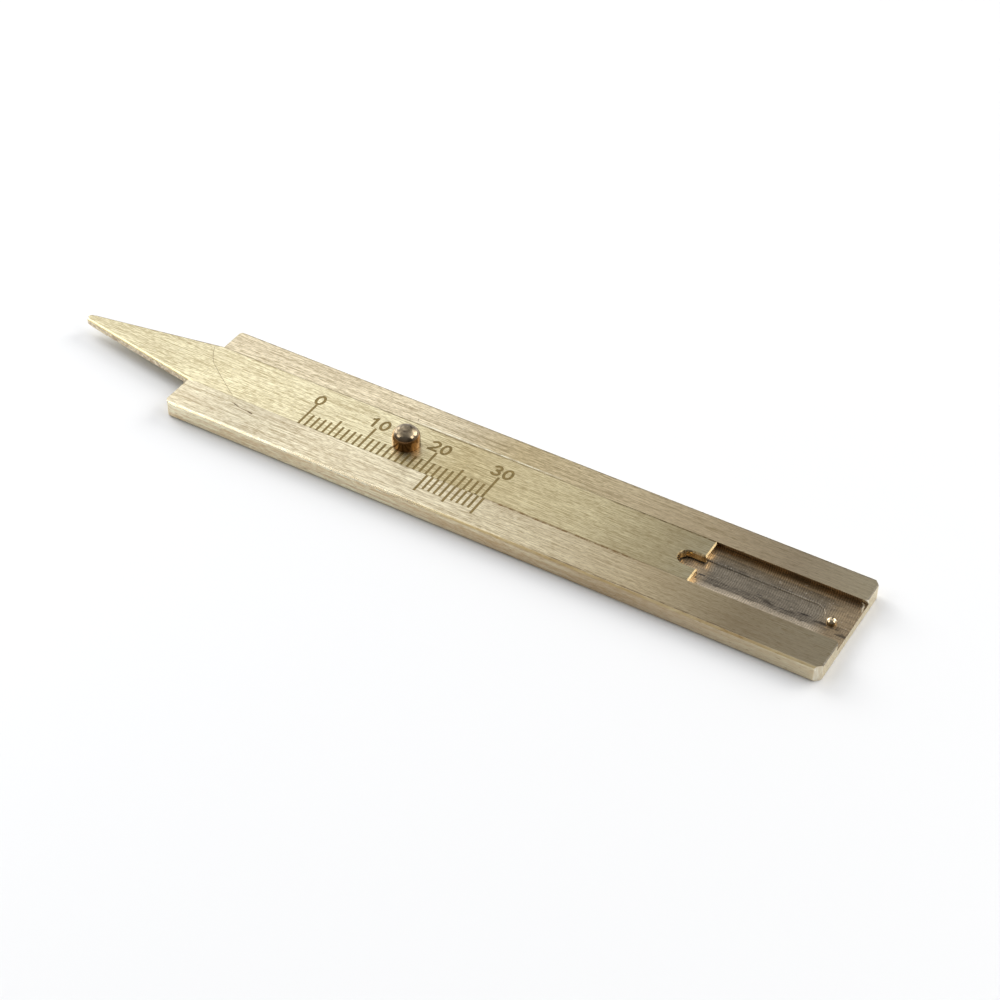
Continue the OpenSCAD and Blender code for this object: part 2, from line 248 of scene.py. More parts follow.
# brass as a cutter or a shear left it, with short marks
def cutBrass(name, look):
    material, tree, shader, coords = startMaterial(name, look["metallic"])
    marks = grain(tree, coords, look["markScale"], 4.0, 0.6)
    shade = remap(tree, marks, 0.35, 0.65, 0.0, 1.0)
    tone = blend(tree, shade, color(look["dark"]), color(look["light"]))
    tree.links.new(tone, shader.inputs["Base Color"])
    rough = remap(tree, marks, 0.3, 0.7, look["roughLow"], look["roughHigh"])
    tree.links.new(rough, shader.inputs["Roughness"])
    bumpFrom(tree, shader, marks, look["bump"], 0.02)
    return material


cutLook = {
    "dark": (0.34, 0.23, 0.10), "light": (0.66, 0.50, 0.27), "markScale": (3000, 3000, 700),
    "roughLow": 0.20, "roughHigh": 0.38, "bump": 0.3, "metallic": 1.0,
}
# painted highlight: pale, mostly non-metallic colour for the glint on the groove's rear lead-in and the
# near rear corner chamfer
glintLook = dict(cutLook, dark=(0.80, 0.68, 0.46), light=(1.0, 0.93, 0.76), metallic=0.3,
                 roughLow=0.14, roughHigh=0.30)
bevelLook = dict(cutLook, dark=(0.82, 0.66, 0.34), light=(1.0, 0.91, 0.58), markScale=(900, 5200, 5200),
                 roughLow=0.40, roughHigh=0.55)
shearLook = dict(cutLook, dark=(0.50, 0.38, 0.24), light=(1.0, 0.90, 0.70), markScale=(1500, 1500, 2600),
                 roughLow=0.32, roughHigh=0.55, bump=0.6)
springLook = dict(cutLook, dark=(0.44, 0.29, 0.15), light=(0.70, 0.49, 0.28), markScale=(300, 5000, 5000))


# groove: feed marks across it, speckle and streaks, darker brown under the far rail, dirt by the channel
def milledBrass(name, look):
    material, tree, shader, coords = startMaterial(name, look["metallic"])
    place = put(tree, "ShaderNodeSeparateXYZ", {0: coords})
    x, y = place.outputs[0], place.outputs[1]
    offAxis = calc(tree, "SUBTRACT", y, layout["channelY"] * mm)
    sweep = calc(tree, "DIVIDE", calc(tree, "MULTIPLY", offAxis, offAxis), 2 * look["cutterRadius"] * mm)
    wobble = calc(tree, "MULTIPLY", grain(tree, coords, (900, 600, 600), 3.0), look["wobble"] * mm)
    along = mixed(tree, [(x, 1.0), (sweep, 1.0), (wobble, 1.0)])
    turns = calc(tree, "MULTIPLY", along, 2 * math.pi / (look["feed"] * mm))
    ribs = remap(tree, calc(tree, "SINE", turns), -1.0, 1.0, 0.0, 1.0)
    patches = remap(tree, grain(tree, coords, (250, 900, 900), 3.0), 0.4, 0.6, 0.15, 1.0)
    faded = calc(tree, "MULTIPLY", ribs, patches)
    speckle = grain(tree, coords, (4200, 4200, 4200), 4.0, 0.75)
    streak = grain(tree, coords, (130, 3600, 3600), 3.0, 0.6, (0.0, 1.9, 0.0))
    height = mixed(tree, [(faded, look["ribShare"]), (speckle, 0.55), (streak, 0.45)])
    relief = remap(tree, height, 0.38, 0.62 + look["ribShare"] * 0.6, 0.0, 1.0)
    ends = remap(tree, x, look["marginFrom"] * mm, look["marginTo"] * mm, 0.0, 1.0)
    tone = blend(tree, ends, bands(tree, y, look["bands"]), color(look["margin"]))
    # painted light: the floor under the blade's rear end and notch is lightened against the shade there
    paintedLit = remap(tree, x, look["paintedLightFrom"] * mm, look["paintedLightTo"] * mm, look["paintedLightAmount"], 0.0)
    tone = blend(tree, paintedLit, tone, color(look["paintedLight"]))
    shade = remap(tree, relief, 0.0, 1.0, look["low"], look["high"])
    grey = put(tree, "ShaderNodeCombineXYZ", {0: shade, 1: shade, 2: shade}).outputs[0]
    tone = blend(tree, 1.0, tone, grey, "MULTIPLY")
    dirt = grain(tree, coords, look["dirtScale"], 4.0, 0.7, (0.0, 0.3, 0.0))
    for lineY, amount in look["dirtLines"]:
        line = nearLine(tree, y, lineY, look["dirtHalf"], look["dirtFade"])
        line = calc(tree, "MULTIPLY", line, remap(tree, dirt, 0.44, 0.58, 0.0, amount))
        tone = blend(tree, line, tone, color(look["dirt"]))
    glints = grain(tree, coords, (2300, 3100, 3100), 2.0, 0.5, (5.0, 1.0, 2.0))
    tone = blend(tree, remap(tree, glints, 0.64, 0.74, 0.0, look["glint"]), tone, color(look["glintColor"]))
    tree.links.new(tone, shader.inputs["Base Color"])
    rough = remap(tree, relief, 0.0, 1.0, look["roughHigh"], look["roughLow"])
    tree.links.new(rough, shader.inputs["Roughness"])
    bumpFrom(tree, shader, height, look["bump"], 0.03)
    return material


# bands are (Y, colour), a dirt line is (Y, amount), and the painted light is a lighter colour on the floor
# under the blade, seen at its rear end and notch
floorLook = {
    "bands": [(-2.7, (0.52, 0.435, 0.32)), (-1.75, (0.42, 0.35, 0.26)), (-1.5, (0.20, 0.168, 0.125)),
              (-0.4, (0.19, 0.16, 0.12)), (2.5, (0.225, 0.188, 0.138)), (4.05, (0.235, 0.182, 0.115)),
              (4.2, (0.42, 0.31, 0.18)), (5.4, (0.36, 0.26, 0.145))],
    "margin": (0.35, 0.265, 0.165), "marginFrom": 46.2, "marginTo": 48.4, "low": 0.42, "high": 1.60,
    "paintedLight": (0.68, 0.51, 0.32), "paintedLightAmount": 0.85, "paintedLightFrom": 28.5, "paintedLightTo": 31.0, "metallic": 1.0,
    "dirt": (0.05, 0.04, 0.03), "dirtLines": [(-1.6, 0.8), (-0.7, 0.9), (2.45, 0.5)],
    "dirtHalf": 0.12, "dirtFade": 0.42, "dirtScale": (420, 900, 900),
    "glint": 0.5, "glintColor": (0.80, 0.72, 0.60), "cutterRadius": 30.0, "feed": 0.32, "wobble": 0.4,
    "ribShare": 0.24, "roughLow": 0.36, "roughHigh": 0.56, "bump": 0.6,
}
laneLook = dict(floorLook, feed=0.33, cutterRadius=8.0, ribShare=0.32, glint=0.45, wobble=0.55,
                bands=[(-1.5, (0.19, 0.16, 0.12)), (1.0, (0.235, 0.2, 0.15)), (2.4, (0.225, 0.188, 0.138))])
# the channel's rim: pale, mostly non-metallic colour, a painted highlight line, with painted light under
# the blade
rimLook = dict(floorLook, metallic=0.15, low=0.25, high=1.6, dirtLines=[],
               bands=[(-1.8, (0.68, 0.60, 0.48)), (2.6, (0.74, 0.66, 0.53))],
               margin=(0.26, 0.22, 0.17), marginFrom=43.5, marginTo=46.5,
               paintedLight=(0.80, 0.68, 0.52), paintedLightAmount=0.4)
wallLook = dict(floorLook, glint=0.2, paintedLightAmount=0.0, dirtLines=[],
                bands=[(-4.3, (0.60, 0.47, 0.28)), (5.6, (0.58, 0.43, 0.25))],
                margin=(0.80, 0.64, 0.40), marginFrom=49.6, marginTo=50.4)


# dark fill of the etched lines, numerals, scratches and pits
def etchedFill(name, look):
    material, tree, shader, coords = startMaterial(name, look["metallic"])
    mottle = grain(tree, coords, (2400, 5200, 2400), 4.0, 0.65)
    shade = remap(tree, mottle, 0.35, 0.65, 0.0, 1.0)
    tone = blend(tree, shade, color(look["dark"]), color(look["light"]))
    tree.links.new(tone, shader.inputs["Base Color"])
    tree.links.new(remap(tree, mottle, 0.3, 0.7, 0.42, 0.62), shader.inputs["Roughness"])
    bumpFrom(tree, shader, mottle, 0.4, 0.01)
    return material


etchLook = {"metallic": 0.9, "dark": (0.17, 0.12, 0.042), "light": (0.31, 0.225, 0.085)}
scuffLook = {"metallic": 0.4, "dark": (0.11, 0.07, 0.035), "light": (0.33, 0.23, 0.12)}
pitLook = {"metallic": 0.4, "dark": (0.025, 0.02, 0.015), "light": (0.07, 0.055, 0.04)}


# polished stud and pin: amber sides darker than the shoulder, partly painted shade, a worn crown, a dark
# ring on it and fine turning marks
def polishedBronze(name, look):
    material, tree, shader, coords = startMaterial(name, 1.0)
    shift = (-look["centre"][0] * mm, -look["centre"][1] * mm, 0.0)
    centred = put(tree, "ShaderNodeMapping", {"Vector": coords, "Location": shift}).outputs[0]
    place = put(tree, "ShaderNodeSeparateXYZ", {0: centred})
    x, y, z = place.outputs[0], place.outputs[1], place.outputs[2]
    radius = calc(tree, "SQRT", calc(tree, "ADD", calc(tree, "POWER", x, 2.0), calc(tree, "POWER", y, 2.0)))
    turning = put(tree, "ShaderNodeCombineXYZ", {0: radius, 2: z}).outputs[0]
    rings = grain(tree, turning, (9000, 1, 9000), 3.0)
    handling = grain(tree, coords, (1500, 1500, 1500), 4.0, 0.6)
    crown = remap(tree, z, look["crownLow"] * mm, look["crownHigh"] * mm, 0.0, 1.0)
    worn = calc(tree, "MULTIPLY", crown, remap(tree, handling, 0.38, 0.58, 0.4, 1.0))
    # partly painted shade: the sides below toneLow are darker than the shoulder above toneHigh
    upper = remap(tree, z, look["toneLow"] * mm, look["toneHigh"] * mm, 0.0, 1.0)
    tone = blend(tree, upper, color(look["side"]), color(look["shoulder"]))
    tone = blend(tree, worn, tone, color(look["crown"]))
    ring = nearLine(tree, radius, look["ringRadius"], look["ringHalf"], look["ringFade"])
    ring = calc(tree, "MULTIPLY", ring, remap(tree, handling, 0.35, 0.6, look["ringAmount"], 0.2))
    tone = blend(tree, ring, tone, color(look["ring"]))
    tree.links.new(tone, shader.inputs["Base Color"])
    below = remap(tree, upper, 0.0, 1.0, look["roughSide"], look["roughShoulder"])
    tree.links.new(remap(tree, worn, 0.0, 1.0, below, look["roughCrown"]), shader.inputs["Roughness"])
    bumpFrom(tree, shader, mixed(tree, [(rings, 0.5), (handling, 0.5)]), look["bump"], 0.01)
    return material


studLook = {
    "side": (0.20, 0.105, 0.042), "shoulder": (0.40, 0.315, 0.205), "crown": (0.18, 0.145, 0.095),
    "ring": (0.08, 0.06, 0.04), "ringRadius": 0.75, "ringHalf": 0.06, "ringFade": 0.26, "ringAmount": 0.9,
    "roughSide": 0.14, "roughShoulder": 0.15, "roughCrown": 0.60, "bump": 0.4,
    "toneLow": 4.35, "toneHigh": 4.95, "crownLow": 4.85, "crownHigh": 5.2, "centre": layout["studPlace"],
}
pinLook = dict(studLook, side=(0.52, 0.39, 0.22), shoulder=(0.62, 0.49, 0.31), crown=(0.66, 0.52, 0.33),
               roughCrown=0.16, ringRadius=0.3, ringAmount=0.2, toneLow=1.8, toneHigh=2.0,
               crownLow=1.9, crownHigh=2.1, centre=layout["pinPlace"])

barBrass = brushedBrass("barBrass", barLook)
nearBrass = brushedBrass("nearBrass", nearLook)
bladeBrass = brushedBrass("bladeBrass", bladeLook)
sideBrass = brushedBrass("sideBrass", sideLook)
edgeBrass = brushedBrass("edgeBrass", edgeLook)
dirtAndShadeEdge = brushedBrass("dirtAndShadeEdge", shadeLook)
freshCut = cutBrass("freshCut", cutLook)
pointBevel = cutBrass("pointBevel", bevelLook)
wallGlint = cutBrass("wallGlint", glintLook)
shearedSide = cutBrass("shearedSide", shearLook)
springBronze = cutBrass("springBronze", springLook)
millFloor = milledBrass("millFloor", floorLook)
millLane = milledBrass("millLane", laneLook)
grooveWall = milledBrass("grooveWall", wallLook)
channelRim = milledBrass("channelRim", rimLook)
etch = etchedFill("etch", etchLook)
scuff = etchedFill("scuff", scuffLook)
pit = etchedFill("pit", pitLook)
studBronze = polishedBronze("studBronze", studLook)
pinBronze = polishedBronze("pinBronze", pinLook)
print("materials ready")


# merging and nearness in millimetres, angles in degrees
meshSet = {
    "merge": 0.0005, "near": 0.002, "flatTo": 0.4, "sharpFrom": 20.0, "creaseFrom": 32.0, "profile": 0.6,
}
tiny = meshSet["near"] * mm


def newPiece(name, mesh, materials):
    piece = bpy.data.objects.new(name, mesh)
    for material in materials:
        mesh.materials.append(material)
    scene.collection.objects.link(piece)
    return piece


# a piece whose faces take the finish that finishOf gives for their centre and normal
def dressedPiece(name, mesh, finishes, finishOf):
    piece = newPiece(name, mesh, finishes)
    for face in mesh.polygons:
        face.material_index = finishes.index(finishOf(face.center, face.normal))
    return piece


def evaluated(maker):
    bpy.context.view_layer.update()
    return bpy.data.meshes.new_from_object(maker.evaluated_get(bpy.context.evaluated_depsgraph_get()))


# a node's triangles, merged and with flat areas joined, ready for finishing
def nodeCopy(name):
    work = bmesh.new()
    work.from_mesh(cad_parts[name].data)
    bmesh.ops.remove_doubles(work, verts=work.verts, dist=meshSet["merge"] * mm)
    flat = math.radians(meshSet["flatTo"])
    bmesh.ops.dissolve_limit(work, angle_limit=flat, verts=work.verts, edges=work.edges)
    return work


# convex sharp edges whose ends pass a test
def sharpEdges(work, test):
    sharp = math.radians(meshSet["sharpFrom"])
    found = []
    for edge in work.edges:
        if len(edge.link_faces) != 2 or not edge.is_convex:
            continue
        if edge.calc_face_angle(0.0) > sharp and test([v.co for v in edge.verts]):
            found.append(edge)
    return found


def soften(work, edges, width, segments=2, clamp=True):
    bmesh.ops.bevel(work, geom=edges, offset=width * mm, offset_type="OFFSET", segments=segments,
                    profile=meshSet["profile"], affect="EDGES", clamp_overlap=clamp)


def finishMesh(work, name):
    mesh = bpy.data.meshes.new(name)
    work.to_mesh(mesh)
    work.free()
    return mesh


# roundings, and how far from the groove's axis and the bar's ends a choice reaches, in millimetres
barShape = {
    "edgeSoft": 0.10, "lipSoft": 0.14, "wallEndSoft": 0.34, "rimSoft": 0.14,
    "outerX": 50.0, "outerY": 8.3, "cornerX": 50.4, "endReach": 0.5, "rise": 0.3,
    "mouthReach": 5.2, "wallReach": 5.6, "floorReach": 5.05, "lowZ": 1.0, "laneZ": 1.48, "lipDrop": 0.3,
}


def makeBar():
    s = barShape
    work = nodeCopy("bar_body")
    topZ = layout["topZ"] * mm
    middleY = layout["grooveY"] * mm
    farLipY = middleY + layout["mouthWidth"] / 2 * mm

    def nearAxis(p, reach):
        return abs(p.y - middleY) < reach * mm

    def outerEdge(ends):
        outer = all(abs(p.y) > s["outerY"] * mm or abs(p.x) > s["outerX"] * mm for p in ends)
        return outer and not any(nearAxis(p, s["mouthReach"]) for p in ends)

    def farLip(ends):
        return all(abs(p.y - farLipY) < tiny and abs(p.z - topZ) < tiny for p in ends)

    def wallEnd(ends):
        atRear = all(p.x > (layout["rearX"] - s["endReach"]) * mm for p in ends)
        rising = abs(ends[0].z - ends[1].z) > s["rise"] * mm
        return atRear and rising and all(nearAxis(p, s["wallReach"]) for p in ends)

    def channelEdge(ends):
        flat = all(abs(p.z - layout["floorZ"] * mm) < tiny for p in ends)
        reach = layout["channelWidth"] / 2 * mm + tiny
        beside = all(abs(p.y - layout["channelY"] * mm) < reach for p in ends)
        return flat and beside and all(p.x < layout["channelRearX"] * mm + tiny for p in ends)

    def finishOf(c, n):
        sloped = 0.2 < n.z < 0.98
        inLane = c.z < s["laneZ"] * mm
        inDepth = s["lowZ"] * mm < c.z < topZ - s["lipDrop"] * mm
        inGroove = inDepth and nearAxis(c, s["floorReach"]) and abs(n.x) < 0.9
        # painted highlight on the rear lead-in and corner chamfer
        if c.x > s["cornerX"] * mm and 0.25 < n.x < 0.97 and n.y < -0.2:
            return wallGlint
        # painted shade over the rear top edges, in place of their highlight
        if sloped and n.x > 0.5 and abs(n.y) < 0.2:
            return dirtAndShadeEdge
        if inGroove and inLane and n.z < 0.98:
            return channelRim
        if inGroove and n.z > 0.5:
            return millLane if inLane else millFloor
        if inGroove and abs(n.z) > 0.2:
            return grooveWall
        # painted shade: dark outline on the far and front edges
        if sloped and (n.y > 0.2 or n.x < -0.2):
            return dirtAndShadeEdge
        if sloped and n.y < -0.2:
            return edgeBrass
        if -0.5 < n.z < 0.98:
            return sideBrass
        if n.z > 0.98 and c.y < middleY and c.z > topZ - tiny:
            return nearBrass
        return barBrass

    soften(work, sharpEdges(work, outerEdge), s["edgeSoft"])
    soften(work, sharpEdges(work, channelEdge), s["rimSoft"])
    soften(work, sharpEdges(work, wallEnd), s["wallEndSoft"], 3)
    soften(work, sharpEdges(work, farLip), s["lipSoft"])
    finishes = [barBrass, millFloor, millLane, grooveWall, sideBrass, edgeBrass, dirtAndShadeEdge, nearBrass,
                channelRim, wallGlint]
    piece = dressedPiece("barBody", finishMesh(work, "barBody"), finishes, finishOf)
    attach(piece, "bar")
    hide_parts("bar_body")


# closed prism along a centre line, in millimetres, from lowZ to a flat top at highZ
def ribbon(work, points, width, lowZ, highZ, closed=False):
    count = len(points)
    rows = []
    for i, here in enumerate(points):
        before = points[(i - 1) % count] if closed or i > 0 else here
        after = points[(i + 1) % count] if closed or i < count - 1 else here
        run = Vector((after[0] - before[0], after[1] - before[1])).normalized()
        side = Vector((-run.y, run.x)) * width / 2
        corners = [(here[0] + side.x, here[1] + side.y, highZ), (here[0] - side.x, here[1] - side.y, highZ),
                   (here[0] - side.x, here[1] - side.y, lowZ), (here[0] + side.x, here[1] + side.y, lowZ)]
        rows.append([work.verts.new(Vector(corner) * mm) for corner in corners])
    pairs = list(zip(rows, rows[1:])) + ([(rows[-1], rows[0])] if closed else [])
    for low, high in pairs:
        for k in range(4):
            work.faces.new([low[k], high[k], high[(k + 1) % 4], low[(k + 1) % 4]])
    if not closed:
        work.faces.new(rows[0])
        work.faces.new(rows[-1][::-1])
    bmesh.ops.recalc_face_normals(work, faces=work.faces)


def bow(centreX, centreY, radiusX, radiusY, fromDeg, toDeg, count=28):
    turns = [math.radians(fromDeg + (toDeg - fromDeg) * i / count) for i in range(count + 1)]
    return [(centreX + radiusX * math.cos(a), centreY + radiusY * math.sin(a)) for a in turns]


# millimetres, and advance as a share of the height
digitShape = {
    "values": (0, 10, 20, 30), "height": 2.16, "stroke": 0.43, "advance": 0.83, "baseY": 4.68,
    "shift": -0.08, "recess": 0.012, "depth": 0.05, "cutAbove": 0.1, "fillGap": 0.01,
}
# centre lines of the digits in shares of their height, with the origin at the middle of the base line
digitLines = {
    "0": [(True, bow(0.0, 0.5, 0.26, 0.415, 0.0, 360.0, 48)[:-1])],
    "1": [(False, [(0.07, 0.0), (0.07, 1.0)]), (False, [(0.08, 0.92), (-0.07, 0.79), (-0.23, 0.72)])],
    "2": [(False, bow(0.0, 0.70, 0.265, 0.22, 172.0, -30.0)
           + [(0.11, 0.40), (-0.12, 0.22), (-0.27, 0.085)]),
          (False, [(-0.37, 0.085), (0.37, 0.085)])],
    "3": [(False, bow(-0.01, 0.735, 0.235, 0.185, 168.0, -85.0) + [(-0.10, 0.54)]),
          (False, [(-0.10, 0.52)] + bow(0.0, 0.295, 0.265, 0.215, 85.0, -168.0))],
}


# Boolean of two meshes
def combined(name, first, second, operation):
    base = newPiece(name + "Base", first, [])
    tool = newPiece(name + "Tool", second, [])
    modifier = base.modifiers.new("join", "BOOLEAN")
    modifier.operation = operation
    modifier.solver = "EXACT"
    modifier.object = tool
    made = evaluated(base)
    for maker in (base, tool):
        bpy.data.objects.remove(maker)
    made.name = name
    return made


def digitMesh(digit, centreX, baseY, lowZ, highZ):
    d = digitShape
    made = None
    for closed, line in digitLines[digit]:
        work = bmesh.new()
        points = [(centreX + x * d["height"], baseY + y * d["height"]) for x, y in line]
        ribbon(work, points, d["stroke"], lowZ, highZ, closed)
        stroke = finishMesh(work, "stroke")
        made = stroke if made is None else combined("digit", made, stroke, "UNION")
    return made


def numeralMesh(name, lowZ, highZ):
    d = digitShape
    whole = bmesh.new()
    baseY = layout["grooveY"] - layout["bladeWidth"] / 2 + d["baseY"]
    for value in d["values"]:
        body = str(value)
        for i, digit in enumerate(body):
            offset = (i - (len(body) - 1) / 2) * d["advance"] * d["height"]
            centreX = layout["scaleZeroX"] + d["shift"] + value + offset
            whole.from_mesh(digitMesh(digit, centreX, baseY, lowZ, highZ))
    return finishMesh(whole, name)


# millimetres, and leastWall in square millimetres
bladeShape = {
    "pointSoft": 0.26, "farSoft": 0.10, "underSoft": 0.28, "pointClear": 0.3,
    "endReach": 3.9, "endHalf": 4.35,
    "biteLength": 1.7, "biteDepth": 0.08, "biteLift": 0.15, "fineShare": 0.35, "fineScale": 3.1,
    "biteSteps": 120, "biteRows": 3, "leastWall": 4.0, "onWall": 0.001, "rise": 0.4, "rimKeep": 0.01,
    "cellReach": 1.5,
}


# the point's sides were sheared: small bites, none of them outside the plain wall
def roughenPoint(work):
    s = bladeShape
    limit = (layout["frontX"] - s["pointClear"]) * mm

    def vertsOn(anchor, inward):
        reach = s["onWall"] * mm
        return [v for v in work.verts if abs((v.co - anchor).dot(inward)) < reach and v.co.x < limit]

    walls = [f for f in work.faces if abs(f.normal.z) < 0.05 and f.calc_center_median().x < limit
             and f.calc_area() > s["leastWall"] * mm * mm]
    for wall in walls:
        inward = -wall.normal.copy()
        anchor = wall.calc_center_median()
        lengths = sorted(wall.edges, key=lambda e: e.calc_length())
        bmesh.ops.subdivide_edges(work, edges=lengths[-2:], cuts=s["biteSteps"], use_grid_fill=True)
        members = set(vertsOn(anchor, inward))
        rising = [e for e in work.edges if members.issuperset(e.verts)
                  and abs(e.verts[0].co.z - e.verts[1].co.z) > s["rise"] * mm]
        bmesh.ops.subdivide_edges(work, edges=rising, cuts=s["biteRows"], use_grid_fill=True)
        inside = vertsOn(anchor, inward)
        rim = max(v.co.z for v in inside) - s["rimKeep"] * mm
        for vert in inside:
            reach = max(abs(e.other_vert(vert).co.x - vert.co.x) for e in vert.link_edges)
            if vert.co.z < rim and reach < s["cellReach"] * mm:
                place = vert.co / (s["biteLength"] * mm)
                fine = s["fineShare"] * noise.noise(place * s["fineScale"])
                bite = max(0.0, noise.noise(place) + fine + s["biteLift"])
                vert.co += inward * min(bite, 1.0) * s["biteDepth"] * mm


def makeBlade():
    s = bladeShape
    topZ = layout["topZ"]
    middleY = layout["grooveY"] * mm
    limit = (layout["frontX"] + s["pointClear"]) * mm
    plain = finishMesh(nodeCopy("scale_blade"), "plainBlade")
    lowZ = topZ - digitShape["recess"] - digitShape["depth"]
    cutter = numeralMesh("numeralCutter", lowZ, topZ + digitShape["cutAbove"])
    work = bmesh.new()
    work.from_mesh(combined("numberedBlade", plain, cutter, "DIFFERENCE"))

    def pointEdge(ends):
        return all(p.x < limit and abs(p.z - topZ * mm) < tiny for p in ends)

    def isNear(ends):
        return sum(p.y for p in ends) / len(ends) < middleY

    def nearPoint(ends):
        return pointEdge(ends) and isNear(ends)

    def farPoint(ends):
        return pointEdge(ends) and not isNear(ends)

    def underPoint(ends):
        low = all(p.x < limit and abs(p.z - layout["bladeZ"] * mm) < tiny for p in ends)
        return low and isNear(ends)

    def finishOf(c, n):
        if c.x > (layout["bladeRearX"] - s["endReach"]) * mm and -0.5 < n.z < 0.98:
            return freshCut if abs(c.y - middleY) < s["endHalf"] * mm else bladeBrass
        if c.x < limit and 0.2 < n.z < 0.98:
            # painted shade: dark outline on the point's far edges
            return pointBevel if n.y < -0.2 else dirtAndShadeEdge
        if c.x < limit and -0.95 < n.z < 0.2:
            return shearedSide
        return bladeBrass

    soften(work, sharpEdges(work, underPoint), s["underSoft"], clamp=False)
    soften(work, sharpEdges(work, nearPoint), s["pointSoft"], clamp=False)
    soften(work, sharpEdges(work, farPoint), s["farSoft"], clamp=False)
    roughenPoint(work)
    finishes = [bladeBrass, freshCut, pointBevel, shearedSide, dirtAndShadeEdge]
    piece = dressedPiece("scaleBlade", finishMesh(work, "scaleBlade"), finishes, finishOf)
    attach(piece, "blade")
    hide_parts("scale_blade")


makeBar()
makeBlade()
print("bar and blade ready")


# lathe: profile of (radius, height) turned about a vertical axis
def turned(name, profile, centre, steps):
    work = bmesh.new()
    rings = []
    for radius, z in profile:
        if radius < 1e-9:
            rings.append([work.verts.new((centre[0] * mm, centre[1] * mm, z * mm))])
            continue
        ring = []
        for i in range(steps):
            turn = 2 * math.pi * i / steps
            ring.append(work.verts.new(((centre[0] + radius * math.cos(turn)) * mm,
                                        (centre[1] + radius * math.sin(turn)) * mm, z * mm)))
        rings.append(ring)
    for low, high in zip(rings, rings[1:]):
        for i in range(steps):
            j = (i + 1) % steps
            corners = [low[i % len(low)], low[j % len(low)], high[j % len(high)], high[i % len(high)]]
            work.faces.new(list(dict.fromkeys(corners)))
    bmesh.ops.recalc_face_normals(work, faces=work.faces)
    for face in work.faces:
        face.smooth = True
    for edge in work.edges:
        if len(edge.link_faces) == 2 and edge.calc_face_angle(0.0) > math.radians(meshSet["creaseFrom"]):
            edge.smooth = False
    return finishMesh(work, name)


studShape = {
    "diameter": 4.0, "height": 2.9, "domeRadius": 2.3, "blendRadius": 1.4, "foot": 0.08, "sideDrop": 0.3,
    "shank": 1.7, "tailZ": 1.38, "steps": 96,
}


def makeStud():
    s = studShape
    top = layout["topZ"]
    side = s["diameter"] / 2
    blendX = side - s["blendRadius"]
    domeZ = top + s["height"] - s["domeRadius"]
    blendZ = domeZ + math.sqrt((s["domeRadius"] - s["blendRadius"]) ** 2 - blendX ** 2)
    meet = math.degrees(math.atan2(blendZ - domeZ, blendX))
    profile = [(0.0, s["tailZ"]), (s["shank"] / 2, s["tailZ"]), (s["shank"] / 2, top)]
    profile += [(side - s["foot"], top), (side, top + s["foot"]), (side, blendZ - s["sideDrop"])]
    profile += bow(blendX, blendZ, s["blendRadius"], s["blendRadius"], 0.0, meet, 14)
    profile += bow(0.0, domeZ, s["domeRadius"], s["domeRadius"], meet, 90.0, 16)[1:-1]
    profile += [(0.0, top + s["height"])]
    mesh = turned("thumbStud", profile, layout["studPlace"], s["steps"])
    piece = newPiece("thumbStud", mesh, [studBronze])
    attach(piece, "blade")
    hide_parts("thumb_stud")


pinShape = {
    "diameter": 1.35, "sideHeight": 0.55, "sideDrop": 0.1, "domeHeight": 0.35, "seat": 1.0, "steps": 48,
}


def makePin():
    s = pinShape
    side = s["diameter"] / 2
    floorZ = layout["floorZ"]
    shoulder = floorZ + s["sideHeight"]
    domeRadius = (side ** 2 + s["domeHeight"] ** 2) / (2 * s["domeHeight"])
    domeZ = shoulder + s["domeHeight"] - domeRadius
    start = math.degrees(math.atan2(shoulder - domeZ, side))
    profile = [(0.0, floorZ - s["seat"]), (side, floorZ - s["seat"]), (side, shoulder - s["sideDrop"])]
    profile += bow(0.0, domeZ, domeRadius, domeRadius, start, 90.0, 12)[:-1]
    profile += [(0.0, shoulder + s["domeHeight"])]
    mesh = turned("zeroStopPin", profile, layout["pinPlace"], s["steps"])
    piece = newPiece("zeroStopPin", mesh, [pinBronze])
    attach(piece, "bar")
    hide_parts("zero_stop_pin")


makeStud()
makePin()
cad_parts["friction_spring"].data.materials[0] = springBronze
print("stud, pin and leaf ready")


